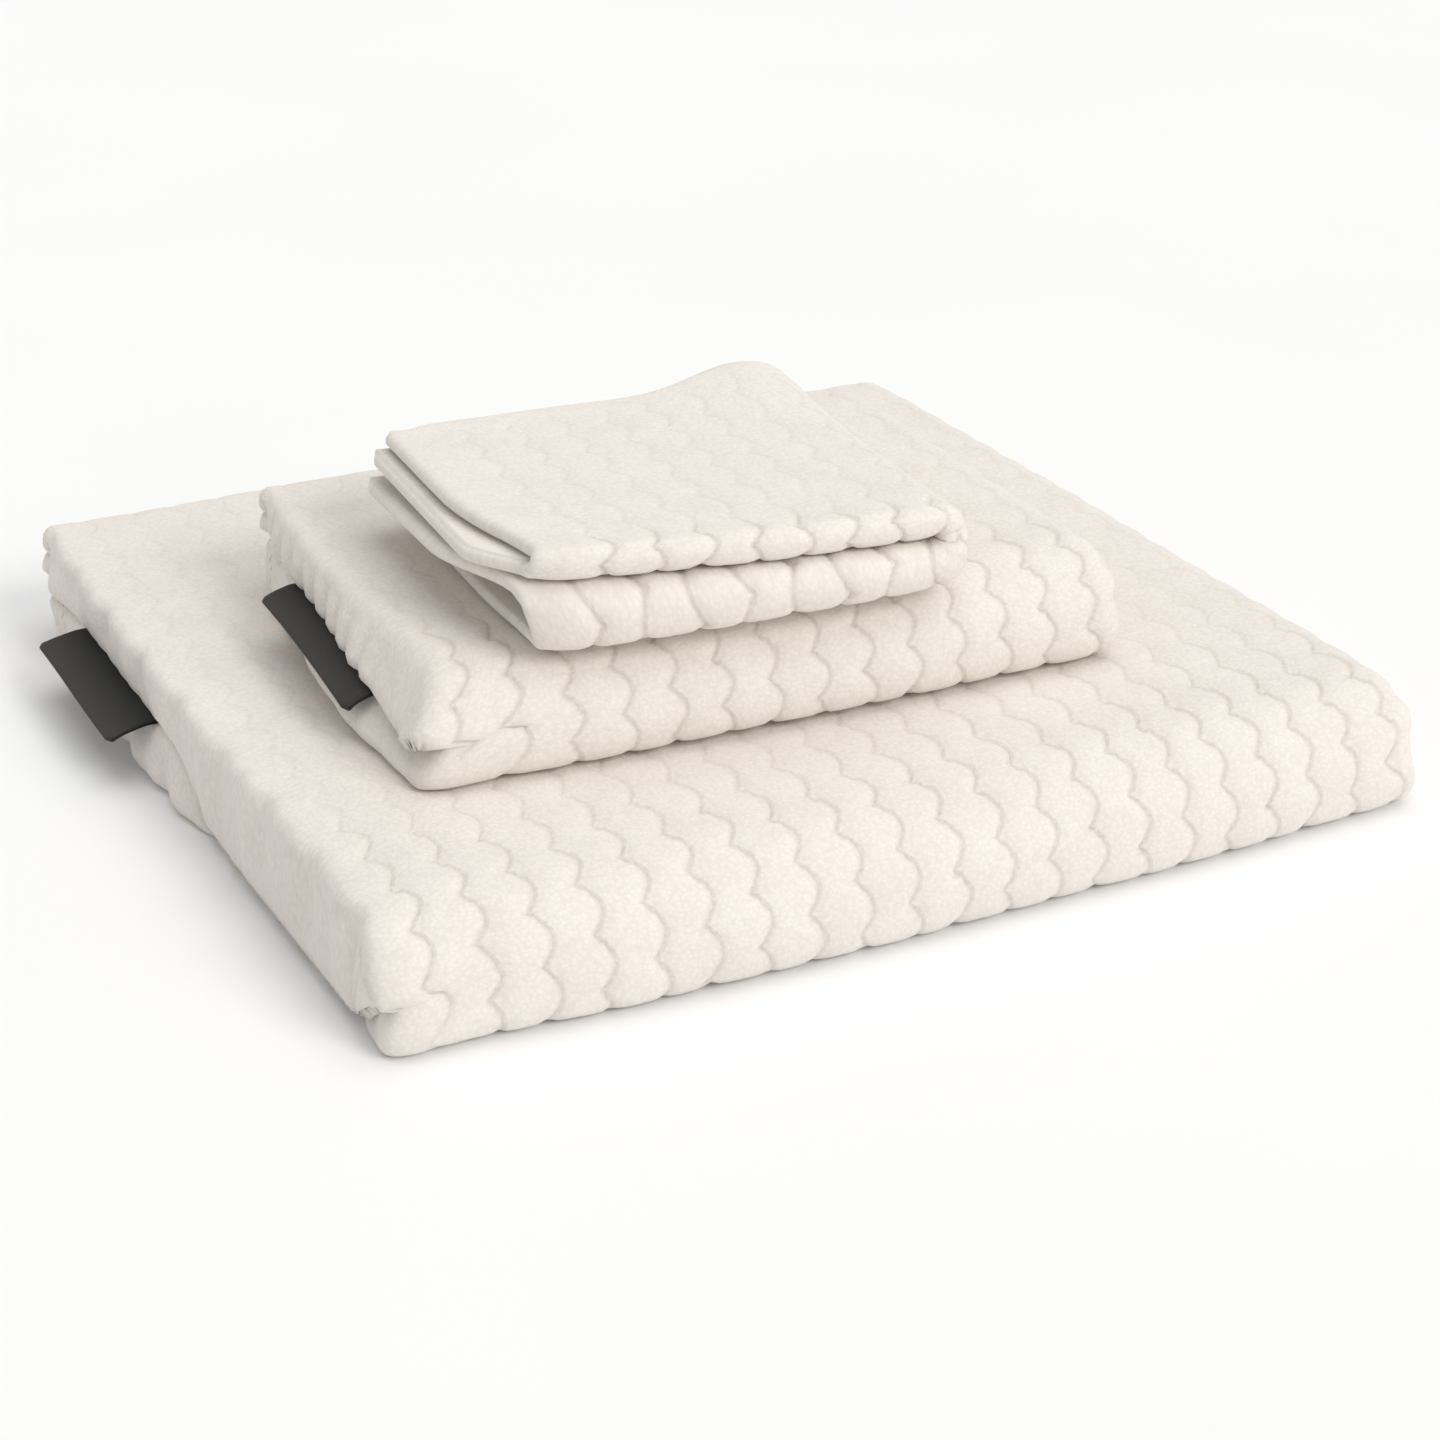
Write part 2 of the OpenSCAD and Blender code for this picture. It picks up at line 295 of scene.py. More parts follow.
class BigTowel:
    """A towel folded to eight layers: in half along its length (fold 1, at the back), in half
    across its width (fold 2, on the right), and in half round the front (fold 3)."""

    # how deep the seams' thread lies in the cloth, as a share of its own thickness
    sunk = 0.15

    def __init__(self, node, yaw, bow, side_bow, step):
        low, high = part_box(node)
        size = np.array(high) - np.array(low)
        width, depth = sides_of_turned(size, yaw)
        self.w = width - side_bow
        self.d = depth - bow
        self.h = size[2]
        offset = turned(np.array([side_bow / 2, bow / 2, 0.0]), yaw, (0, 0, 0))
        self.centre = (np.array(low) + np.array(high)) / 2 + offset
        self.centre[2] = low[2]
        self.yaw, self.bow, self.side_bow, self.step = yaw, bow, side_bow, step
        self.t = self.h / 8

    def grid(self):
        """The stations across (columns) and along (rows) the sheet, and where they lie."""
        t, w = self.t, self.w
        # corner: how far from the left side the layers stop; curl: the length of the turned hem
        self.corner = 0.0052
        self.xc = w / 2 - 2 * t
        self.run = self.xc + w / 2 - self.corner
        arc = math.pi / 2 * 1.5 * t
        curl = 0.034
        # across: -3..-2 hem, -2..-1 run, -1..0 half arc, and the same mirrored
        left = stations((-3, -2, curl, FINE * 0.5), (-2, -1, self.run, FINE), (-1, 0, arc, FINE))
        right = stations((0, 1, arc, FINE * 1.5), (1, 2, self.run, COARSE), (2, 3, HEM, 0.0035))
        self.across = np.concatenate([left, right[1:]])
        k = self.across
        self.u = (
            np.clip(k, -1, 1) * arc
            + (np.clip(k, -2, -1) + 1 + np.clip(k, 1, 2) - 1) * self.run
            + (np.clip(k, -3, -2) + 2) * curl
            + (np.clip(k, 2, 3) - 2) * self.corner
        )
        top = self.d - CROWN
        bottom = self.d - TOE - self.step
        fold = math.pi / 2 * 0.5 * t
        nose_up = math.pi / 2 * (CROWN + self.h) / 2
        nose_low = math.pi / 2 * TOE
        # along: layer a from its end hem (-4) over bottom, nose and top to fold 1, then b
        a = stations(
            (-4, -3, bottom, MEDIUM),
            (-3, -2.5, nose_low, FINE * 0.8),
            (-2.5, -2, nose_up, FINE * 0.8),
            (-2, -1, top, FINE),
            (-1, 0, fold, FINE * 0.55),
        )
        b = stations(
            (0, 1, fold, FINE * 0.55),
            (1, 2, top, COARSE),
            (2, 3, nose_up + nose_low, COARSE * 0.4),
            (3, 4, bottom, COARSE),
        )
        self.along = np.concatenate([a, b[1:]])
        m = np.abs(self.along)
        length = (
            np.clip(m, 0, 1) * fold
            + (np.clip(m, 1, 2) - 1) * top
            + (np.clip(m, 2, 2.5) - 2) * 2 * nose_up
            + (np.clip(m, 2.5, 3) - 2.5) * 2 * nose_low
            + (np.clip(m, 3, 4) - 3) * bottom
        )
        self.v = np.sign(self.along) * length

    def curl(self, q):
        """X and depth of the outer layer's hem from where it starts to turn down the left face
        and in between the halves, with q from 0 there to 1 at its edge."""
        t = self.t
        down = 3.15 * t
        r1, r2 = self.corner - t / 2, 0.0018
        straight, tucked_in = max(down - r1 - r2, 0.0005), 0.0125
        lengths = np.array([math.pi / 2 * r1, straight, math.pi / 2 * r2, tucked_in])
        ends = np.concatenate([[0], np.cumsum(lengths)]) / lengths.sum()
        p = [np.clip((q - a) / (b - a), 0, 1) for a, b in zip(ends[:-1], ends[1:])]
        first, last = p[0] * math.pi / 2, p[2] * math.pi / 2
        x = -r1 * np.sin(first) + r2 * (1 - np.cos(last)) + lengths[3] * p[3]
        depth = r1 * (1 - np.cos(first)) + lengths[1] * p[1] + r2 * np.sin(last)
        return x, depth

    def mid_points(self):
        """The middle of the cloth, folded flat and square, as a grid of points."""
        t, d, h = self.t, self.d, self.h
        k, row = self.across[:, None], self.along[None, :]
        m = np.abs(row)
        theta = np.clip(row, -1, 1) * np.pi / 2
        radius = t * (1 - 0.5 * np.sin(theta))
        back = d / 2 - t - THREAD + 0.5 * t * np.cos(theta)
        phi = np.clip(k, -1, 1) * np.pi / 2
        depth = 2 * t + radius * np.sin(phi)
        run = np.clip(np.abs(k) - 1, 0, 1)
        hem = np.clip(np.abs(k) - 2, 0, 1)
        from_back = np.clip(m - 1, 0, 1) * (d - CROWN) + (m > 2) * d
        settled = fade(from_back, 0.002, 0.030)
        outer = (k < 0) & (row < 0)
        # near the back each pair of layers has one rounded edge: the upper one turns down
        upper_of_pair = np.where(k < 0, (1 - np.sin(theta)) / 2, (1 + np.sin(theta)) / 2)
        reach = self.corner - t / 2
        capped = upper_of_pair * (1 - np.cos(hem * np.pi / 2)) * t
        cap_x = -(reach - 0.005 * (1 - upper_of_pair)) * np.sin(hem * np.pi / 2)
        curl_x, curl_depth = self.curl(hem)
        lobes = np.abs(np.sin(np.pi * self.v[None, :] / LIP_LOBE))
        behind_slit = 1 - fade(from_back, 0.62 * d, 0.75 * d)
        lip = self.lip * lobes * fade(hem, 0.1, 0.35) * (1 - fade(hem, 0.6, 0.75)) * behind_slit
        short_x = -(reach - 0.009) * hem
        hem_x = between(cap_x, np.where(outer, curl_x - lip, short_x), settled)
        hem_depth = between(capped, np.where(outer, curl_depth, 0.0), settled)
        x = self.xc + radius * np.cos(phi) - run * self.run + hem_x
        x = x + self.edge_wave(k, row, np.cos(phi))
        depth = np.clip(depth + hem_depth, 0, h / 2 - 0.0016)
        y, z = self.path(depth, m, back)
        return np.stack(np.broadcast_arrays(x, y, z), -1)

    def edge_wave(self, k, row, at_fold):
        """Scallops of the outer layer along the fold on the right and along the left edge."""
        v = self.v[None, :]
        right = np.abs(np.sin(np.pi * v / LOBE_LENGTH)) - 0.6
        left = np.sin(2 * np.pi * v / 0.043) + 0.6 * np.sin(2 * np.pi * v / 0.0215 + 0.9)
        leftmost = (k < 0) * fade(-k, 1.90, 2.02) * (1 - fade(-k, 2.3, 2.6))
        shown = (row < 0) * fade(-row, 0.9, 1.2)
        return shown * (0.0020 * right * at_fold * (np.abs(k) < 1) - self.wave * left * leftmost)

    def path(self, depth, m, back):
        """Y and Z along the fold round the front, at a depth below the skin."""
        front, h = -self.d / 2, self.h
        top_y, top_z = nose_point(front, h, depth, 0.0)
        low_y, low_z = nose_point(front, h, depth, 1.0)
        nose_y, nose_z = nose_point(front, h, depth, np.clip(m - 2, 0, 1))
        end = self.d / 2 - self.step - THREAD - 0.004 + 0.45 * depth
        over_top = between(back, top_y, np.clip(m - 1, 0, 1))
        under = between(low_y, end, np.clip(m - 3, 0, 1))
        y = np.where(m < 2, over_top, np.where(m < 3, nose_y, under))
        z = np.where(m < 2, top_z, np.where(m < 3, nose_z, low_z))
        return y, z

    def lower_share(self, y):
        """The lower half's share of the height on the left: the slit between the halves comes
        down towards the front, under the upper half."""
        down = np.clip((self.slit_end - y) / self.slit_fall, 0, 1)
        return 0.5 - (0.5 - self.slit_front) * down**3

    def relaxed(self, p):
        """The folded towel with the bow, bulge and sag of real cloth."""
        x, y, z = p[..., 0], p[..., 1], p[..., 2]
        at_left = 1 - fade(x, -self.w / 2, -self.w / 2 + 0.06)
        y = self.front_bowed(x, y)
        x = self.left_bulged(x, y, z, at_left)
        x, z = self.halves_moved(x, y, z, at_left)
        x, y = self.right_and_back_eased(x, y, z)
        return np.stack([x, y, self.sagged(x, y, z)], -1)

    def front_bowed(self, x, y):
        """Y with a round corner at the left and the bow of the front."""
        w, d = self.w, self.d
        at_front = 1 - fade(y, -d / 2, -d / 2 + 0.10)
        corner = np.clip((-x - (w / 2 - 0.014)) / 0.014, 0, 1)
        bow = self.bow * (1 - np.abs(np.clip(x / (w / 2) - 0.15, -1, 1)) ** 3)
        return y + at_front * (0.005 * corner**2 - bow)

    def left_bulged(self, x, y, z, at_left):
        """X with the bulge, lean and knuckle of the left side."""
        d, level = self.d, z / self.h
        # the lower half bulges more, most of all beside the label's front end
        low = 1 - smooth((level - 0.15) / 0.35)
        swell = np.exp(-(((y - self.bulge_y) / self.bulge_reach) ** 2))
        x = x - at_left * (self.bulge[1] + (self.bulge[0] - self.bulge[1]) * low) * swell
        # towards the front the upper half leans out over the lower one
        lean = self.lean * (1 - fade(y, -0.085, 0.03)) * at_left
        x = x + lean * np.where(level < 0.5, 2 * level - 1, 4 * level - 3)
        # the hem's back end stands out below the top pair of layers, as a knuckle
        knuckle = np.exp(-(((y - (d / 2 - 0.030)) / 0.020) ** 2) - ((level - 0.5) / 0.20) ** 2)
        return x - at_left * self.knuckle * knuckle

    def halves_moved(self, x, y, z, at_left):
        """X and Z with the slit between the halves where it belongs on the left."""
        w, d, h = self.w, self.d, self.h
        level = z / h
        share = self.lower_share(y) + 0.06 * fade(y, d / 2 - 0.060, d / 2 - 0.035)
        # round the front the halves come down a little, as one curve
        nose = 1 - fade(y, -d / 2 - 0.004, -d / 2 + 0.034)
        share = between(share, 0.42, nose)
        x = x + at_left * 0.010 * np.clip(0.5 - share, 0, 1) * (level < 0.5)
        lower, upper = level * 2 * share, 1 - (1 - level) * 2 * (1 - share)
        near_left = 1 - fade(x, -w / 2 - 0.002, -w / 2 + 0.035)
        curved = np.clip(level, 0, 1) ** 1.25
        moved = between(np.where(level < 0.5, lower, upper), curved, nose)
        z = between(z, h * moved, near_left)
        self.squeeze = between(1.0, np.where(level < 0.5, 2 * share, 1.0), near_left)
        # no ribs show in the gathered corner at the bottom of the front
        self.clear = 1 - near_left * (1 - smooth((z / h - 0.15) / 0.35))
        return x, z

    def right_and_back_eased(self, x, y, z):
        """X and Y with the swell of the right side and the slant of the back."""
        w, d = self.w, self.d
        # the folded side on the right has a waist between the halves
        at_right = fade(x, w / 2 - 0.05, w / 2)
        waist = np.exp(-(((z / self.h - 0.45) / 0.14) ** 2))
        x = x + at_right * self.side_bow * (0.65 - 0.75 * waist)
        # the back is drawn in at its left corner and stands out to the right
        y = y - 0.004 * fade(y, d / 2 - 0.06, d / 2) * (1 - fade(x, -w / 2, -w / 2 + 0.12))
        y = y + 0.005 * fade(y, d / 2 - 0.06, d / 2) * fade(x, 0.0, w / 2)
        return x, y

    def sagged(self, x, y, z):
        """Z with the sag of the overhang at the back and a slow unevenness of the top."""
        over = np.clip((y - (self.d / 2 - self.step)) / self.step, 0, 1)
        upper_half = z > self.h * 0.47
        z = z - self.overhang_sag * over**2 * upper_half * np.clip(z / self.h, 0, 1)
        wave = np.sin(x / 0.043 + 1.2 * np.sin(y / 0.07)) * np.sin(y / 0.051 + 0.8)
        return z - 0.0006 * (1 + wave) * np.clip(z / self.h, 0, 1)

    def hem_and_relief(self, u, v):
        """Where the cloth is thin, as a hem, and how clear its ribs are, each from 0 to 1."""
        k, row = self.across[:, None], self.along[None, :]
        m = np.abs(row)
        back_end = 1 - fade(m, 1.03, 1.12)
        hem = fade(np.abs(u), abs(self.u[0]) - HEM, abs(self.u[0]) - 0.008) * (k < 0)
        hem = np.maximum(hem, (np.abs(k) > 2) * (k > 0) * 1.0) * (1 - back_end)
        hem = np.maximum(hem, fade(np.abs(v), abs(self.v[-1]) - HEM, abs(self.v[-1]) - 0.008))
        shown = (k < 0.6) * (row < 1)
        flat_below = fade(m, 3.0, 3.06) * (1 - fade(-k, 2.0, 2.3)) * (1 - (np.abs(k) < 1))
        # the ribs lie pressed flat on top and stand out where the cloth goes round the front
        pressed = between(0.30, 1.0, fade(m, 1.78, 2.06))
        relief = shown * (1 - hem) * (1 - flat_below) * pressed * np.where(m > 2, self.clear, 1)
        side_face = (k < -2) * fade(-k - 2, 0.02, 0.22)
        return hem, relief * (1 - 0.85 * side_face)

    def build(self, name, bulge, bulge_y, bulge_reach, lean, knuckle, slit_end, slit_fall,
              slit_front, sag, lip, wave):
        """Folds the towel and makes its cloth."""
        self.wave = wave
        self.bulge, self.bulge_y, self.bulge_reach = bulge, bulge_y, bulge_reach
        self.lean, self.knuckle = lean, knuckle
        self.slit_end, self.slit_fall, self.slit_front = slit_end, slit_fall, slit_front
        self.overhang_sag, self.lip = sag, lip
        self.grid()
        mid = self.relaxed(self.mid_points())
        u, v = self.u[:, None], self.v[None, :]
        hem, relief = self.hem_and_relief(u, v)
        half = self.t * between(0.46, 0.27, hem) * np.maximum(self.squeeze, 0.2)
        lift = relief * (RIB_RELIEF * (ribs(u, v) - 1.0) + 0.00035 * unevenness(u, v))
        # nothing goes through the surface that the towel lies on
        mid[..., 2] = np.maximum(mid[..., 2], half * 0.9)
        mid = turned(mid, self.yaw, self.centre)
        piece, self.normals = cloth(name, mid, half, (lift, -0.0002 + 0 * lift), u, v, relief)
        self.mid, self.half, self.lift = mid, half, lift
        return piece


# ---------------- the washcloth


class Washcloth:
    """A square of terry folded in quarters: in half round the front (fold 1), then in half
    round the right side (fold 2), which is where its upper pair of layers opens."""

    # the seams' thread as in BigTowel, one layer, two layers, and how far the upper pair stays
    # behind the lower one at the front
    sunk = 0.85
    thin = 0.0060
    pair = 0.0120
    setback = 0.0050

    def __init__(self):
        self.yaw = yaw_of("washcloth_open")
        low, high = [np.array(corner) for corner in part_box("washcloth_lower_half")]
        size = high - low
        self.w, self.d = sides_of_turned(size, self.yaw)
        self.centre = (low + high) / 2
        self.centre[2] = low[2]
        self.hinge = np.array(joint_named("washcloth_open")["pos_m"])
        self.fold_h = self.hinge[2] - low[2]
        self.slope = (size[2] - self.fold_h) / self.w

    def grid(self):
        """The stations across (columns) and along (rows) the square, and where they lie."""
        arc = math.pi / 2 * 0.0105
        self.xc = self.w / 2 - 0.014
        self.run = self.xc + self.w / 2
        upper = stations((-2, -1, self.run, 0.0020))
        # an odd number of steps round fold 2, so that no point lies on the plane it opens on
        bend = np.linspace(-1, 1, 18)[1:-1]
        self.across = np.concatenate([upper, bend, -upper[::-1]])
        fold = 0.011
        front = np.linspace(-1, 1, 19)
        inner = stations((-2, -1, self.d, 0.0060))
        outer = stations((1, 2, self.d, 0.0020))
        self.along = np.concatenate([inner[:-1], front, outer[1:]])
        k, m = self.across, self.along
        self.u = np.clip(k, -1, 1) * arc + np.sign(k) * (np.clip(np.abs(k), 1, 2) - 1) * self.run
        self.v = np.clip(m, -1, 1) * fold + np.sign(m) * (np.clip(np.abs(m), 1, 2) - 1) * self.d

    def left_edge(self, c, y):
        """Where each layer ends on the left: the third one down sticks out most."""
        layers = (-1.5, -0.5, 0.5, 1.5)
        ends = np.interp(c, layers, (-0.0775, -0.0935, -0.0910, -0.0855))
        front_start = np.interp(c, layers, (-0.062, -0.062, -0.066, -0.080))
        front_end = np.interp(c, layers, (-0.010, -0.010, -0.036, 0.0))
        front = 1 - smooth((y - front_start) / (front_end - front_start))
        drawn_in = np.interp(c, layers, (0.002, 0.013, 0.014, 0.0125))
        return ends + drawn_in * front

    def mid_points(self):
        """The middle of the cloth, folded flat. c is how many layers a point lies over the plane
        that the washcloth opens on."""
        w, d, t = self.w, self.d, self.thin
        k, row = self.across[:, None], self.along[None, :]
        theta = np.clip(row, -1, 1) * np.pi / 2
        radius = 1 + 0.5 * np.sin(theta)
        phi = np.clip(k, -1, 1) * np.pi / 2
        c = -radius * np.sin(phi)
        is_upper = np.broadcast_to(k < 0, c.shape)
        run = np.clip(np.abs(k) - 1, 0, 1)
        # Y: both pairs go round the front fold, the lower one in a fat roll
        over = np.clip(np.abs(row) - 1, 0, 1)
        back = d / 2 - 0.003
        tip_up = -d / 2 + self.setback + t / 2
        tip_low = -d / 2 + t / 2
        roll = np.where(row < 0, between(0.008, 0.017, fade(k, 1.55, 1.95)), 0.008)
        start_up, start_low = tip_up + t / 2, tip_low + roll
        y_up = between(start_up, back, over) - (np.abs(row) < 1) * t / 2 * np.cos(theta)
        full = np.abs(np.cos(theta)) ** 0.6
        y_low = between(start_low, back, over) - (np.abs(row) < 1) * roll * full
        y = between(y_low, y_up, fade(c, -0.35, 0.35))
        x = self.xc + radius * 0.007 * np.cos(phi) - run * (self.xc - self.left_edge(c, y))
        # Z: the upper pair lies on a plane that rises to the left, the lower pair under it
        plane = self.fold_h + (w / 2 - x) * self.slope
        z_up = plane + c * self.pair / 2
        near = plane + c * (self.pair / 2 + 0.0004)
        inner = plane - self.pair / 4 - 0.0002
        far = between(inner, t / 2, np.clip(-c - 0.5, 0, 1))
        z_low = np.where(c > -0.5, near, far)
        z = np.where(is_upper, z_up, z_low)
        return x, y, z, c, is_upper

    def relaxed(self, x, y, z, c, is_upper):
        """The folded washcloth with the hump, droop and round corners of real cloth."""
        w, d = self.w, self.d
        # the back right of the upper pair stands up in a soft hump
        hump = np.exp(-(((x - 0.058) / 0.030) ** 2) - ((y - 0.074) / 0.034) ** 2)
        z = z + np.where(is_upper, 0.0065 * hump * np.clip(c, 0, 1), 0)
        y = y + np.where(is_upper, 0.012 * hump, 0)
        # the third layer's free edge droops, more towards the back
        edge = 1 - fade(x, -w / 2 - 0.012, -w / 2 + 0.016)
        hang = edge * between(0.0002, 0.0040, fade(y, -0.045, d / 2)) * (c < -0.2)
        z = z - np.where(is_upper, 0, hang * np.clip(1.5 + c, 0, 1))
        # a light bow of the front and rounded corners
        sx = np.clip(x / (w / 2), -1, 1)
        at_front = 1 - fade(y, -d / 2, -d / 2 + 0.05)
        corner = np.clip((np.abs(x) - (w / 2 - 0.014)) / 0.014, 0, 1)
        y = y + at_front * (0.005 * corner**2 - 0.0045 * (1 - sx**2))
        at_back = fade(y, d / 2 - 0.05, d / 2)
        y = y - at_back * (0.004 * corner**2 + 0.007 * fade(-x, 0.0, 0.08))
        return np.stack([x, y, z], -1)

    def build(self, name):
        """Folds the washcloth and makes its cloth."""
        self.grid()
        x, y, z, c, is_upper = self.mid_points()
        mid = self.relaxed(x, y, z, c, is_upper)
        u, v = self.u[:, None], self.v[None, :]
        k, row = self.across[:, None], self.along[None, :]
        hem = np.maximum(fade(np.abs(k), 1.90, 1.96), fade(np.abs(row), 1.90, 1.96))
        below = (k > 1.0) * (row > 1.15) * 1.0
        inside = fade(-row, 1.0, 1.2)
        on_top = (k < 0) * fade(row, 1.02, 1.10)
        relief = (1 - 0.9 * hem) * (1 - below) * (1 - inside) * (1 - 0.65 * on_top)
        half = self.thin * 0.475 + 0 * z
        lift = relief * (RIB_RELIEF * (ribs(u, v) - 1.0) + 0.0003 * unevenness(u, v))
        mid = turned(mid, self.yaw, self.centre)
        piece, self.normals = cloth(name, mid, half, (lift, -0.0002 + 0 * lift), u, v, relief)
        self.mid, self.half, self.lift = mid, half, lift
        self.keep_apart(piece)
        return piece

    def keep_apart(self, piece):
        """Holds each half on its own side of the plane that the washcloth opens on, so that
        every point of it moves with its own body."""
        hinge, normal = self.opening_plane()
        points = np.empty(3 * len(piece.data.vertices), np.float32)
        piece.data.vertices.foreach_get("co", points)
        points = points.reshape(-1, 3).astype(float)
        nu, nv = self.mid.shape[:2]
        side = on_all_points(np.repeat(-np.sign(self.across), nv), nu, nv)
        short = np.clip(0.0002 - side * ((points - hinge) @ normal), 0, None)
        points += (side * short)[:, None] * normal
        piece.data.vertices.foreach_set("co", points.astype(np.float32).ravel())
        self.light_flat(piece, side)
        piece.data.update()

    def light_flat(self, piece, side):
        """Inside the fold the faces from one half to the other lie flat when the washcloth is
        open, so they are lit as flat."""
        nu, nv = self.mid.shape[:2]
        inner = on_all_points(np.tile(self.along < 0.5, nu), nu, nv)
        corners = np.empty(len(piece.data.loops), np.int32)
        piece.data.loops.foreach_get("vertex_index", corners)
        corners = corners.reshape(-1, 4)
        flat = (np.ptp(side[corners], axis=1) > 0) & inner[corners].all(axis=1)
        piece.data.polygons.foreach_set("use_smooth", ~flat)

    def opening_plane(self):
        """A point on the plane that the washcloth opens on, and that plane's normal."""
        tilt = math.atan(self.slope)
        normal = np.array([math.sin(tilt), 0.0, math.cos(tilt)])
        return self.hinge, turned(normal, self.yaw, (0, 0, 0))


# ---------------- labels


def label(name, towel, root_x, back_y, level, droop, out):
    """A woven label: one tape folded double, with its two ends sewn in side by side."""
    gap, puff = 0.00040, 0.00062
    reach = out - puff
    line = np.linspace(-LABEL_INSIDE, reach - 0.002, 16)
    line = np.concatenate([line, [reach - 0.001, reach]])
    turn = np.linspace(-math.pi / 2, math.pi / 2, 9)
    swell = between(gap, puff, fade(line, reach - 0.004, reach))
    a = np.concatenate([line, reach + puff * np.cos(turn[1:-1]), line[::-1]])
    b = np.concatenate([-swell, puff * np.sin(turn[1:-1]), swell[::-1]])
    rows = np.linspace(0, 1, LABEL_ROWS)
    y = (back_y - rows * LABEL_LENGTH)[None, :]
    a, b = a[:, None], b[:, None]
    across = np.clip(a, 0, None)
    angle = droop * between(0.8, 1.05, fade(across, 0, out)) * (a > 0)
    ripple = 0.0005 * np.sin(rows * 5.1 + 0.6)[None, :] * fade(across, 0.001, out)
    x = root_x - a * np.cos(angle) - b * np.sin(angle)
    z = level - across * np.sin(angle) + b * np.cos(angle) + ripple
    # the free corners are a little rounded by wear
    corner = np.clip((np.abs(rows - 0.5) * 2 - 0.97) / 0.03, 0, 1)[None, :]
    x = x + 0.0012 * corner**2 * fade(across, out * 0.6, out)
    # it follows the hem, which it is sewn under
    z = z - towel.h * (0.5 - towel.lower_share(y))
    mid = np.stack(np.broadcast_arrays(x, y, z), -1)
    half = np.full(mid.shape[:2], 0.00033)
    zero = np.zeros_like(half)
    steps = np.linalg.norm(np.diff(mid[:, 0], axis=0), axis=-1)
    u = np.concatenate([[0], np.cumsum(steps)])[:, None]
    v = (rows * LABEL_LENGTH)[None, :]
    mid = turned(mid, towel.yaw, towel.centre)
    return cloth(name, mid, half, (zero, zero), u - u[-1] / 2, v)[0]


# ---------------- stitches


def stitch_line(points, normals, pitch):
    """Points at an even pitch along a line, with their normals and directions."""
    steps = np.linalg.norm(np.diff(points, axis=0), axis=1)
    along = np.concatenate([[0], np.cumsum(steps)])
    places = np.arange(pitch * 0.5, along[-1], pitch)
    at = np.stack([np.interp(places, along, points[:, i]) for i in range(3)], 1)
    up = np.stack([np.interp(places, along, normals[:, i]) for i in range(3)], 1)
    ahead = np.stack([np.interp(places + 1e-4, along, points[:, i]) for i in range(3)], 1) - at
    up /= np.maximum(np.linalg.norm(up, axis=1, keepdims=True), 1e-9)
    ahead /= np.maximum(np.linalg.norm(ahead, axis=1, keepdims=True), 1e-9)
    return at, up, ahead


STITCH_SIDES = 6
STITCH_TILT = 0.12
# Rings of one stitch: place along it in lengths, height in radii, and size in radii
STITCH_RINGS = (
    (-0.5, -0.9, 0.35),
    (-0.36, 0.1, 0.85),
    (0.0, 0.45, 1.0),
    (0.36, 0.1, 0.85),
    (0.5, -0.9, 0.35),
)


def stitch_points(at, up, ahead, length, radius):
    """The points of the stitches on one line: a grid of stitches, rings and sides."""
    turn = np.linspace(0, 2 * np.pi, STITCH_SIDES, endpoint=False)[None, :, None]
    side = np.cross(ahead, up)
    ahead = ahead + STITCH_TILT * side
    round_it = side[:, None] * np.cos(turn) + up[:, None] * np.sin(turn)
    rings = []
    for along, lift, size in STITCH_RINGS:
        centre = at + ahead * along * length + up * lift * radius
        rings.append(centre[:, None] + round_it * radius * size)
    return np.stack(rings, 1)


def stitches(name, lines, length, pitch, radius, material):
    """Sewing thread on cloth: one short bowed piece of twisted thread for each stitch."""
    vertices, faces = [], []
    base = 0
    for points, normals in lines:
        block = stitch_points(*stitch_line(points, normals, pitch), length, radius)
        vertices.append(block.reshape(-1, 3))
        count = block[..., 0].size
        index = base + np.arange(count).reshape(block.shape[:3])
        ahead = np.roll(index, -1, axis=2)
        quads = np.stack([index[:, :-1], ahead[:, :-1], ahead[:, 1:], index[:, 1:]], -1)
        faces += quads.reshape(-1, 4).tolist()
        faces += index[:, 0, ::-1].tolist() + index[:, -1].tolist()
        base += count
    piece = new_mesh_object(name, np.concatenate(vertices), faces)
    paint(piece, material)
    return piece


def sew(name, node, body, lines, size, material):
    """Stitches along lines, in place of a CAD node; size is a stitch's length, pitch, radius."""
    piece = stitches(name, lines, *size, material)
    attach(piece, body)
    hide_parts(node)


def both_faces(towel, pick):
    """The lines of one seam on the two faces of the cloth."""
    mid, normal, half = towel.mid[pick], towel.normals[pick], towel.half[pick]
    depth = (half - THREAD * towel.sunk)[:, None]
    lift = towel.lift[pick][:, None]
    return [(mid + normal * (depth + lift), normal), (mid - normal * depth, -normal)]


def nearest(values, target):
    """The index of the value that is nearest to the target."""
    return int(np.argmin(np.abs(values - target)))


# ---------------- materials

# Painted shade in the valley between ribs: how far it reaches, how strong it is, and its tint
GROOVE_WIDTH = 0.0016
GROOVE_SHADE_STRENGTH = 0.42
GROOVE_SHADE_COLOUR = (0.72, 0.67, 0.62)
# The label's weave
WARP_PITCH = 0.00075
WEFT_PITCH = 0.00055


def node_material(name):
    """A new material, its node tree and its shader."""
    material = bpy.data.materials.new(name)
    material.use_nodes = True
    tree = material.node_tree
    return material, tree, tree.nodes["Principled BSDF"]


def link(tree, source, target):
    tree.links.new(source, target)


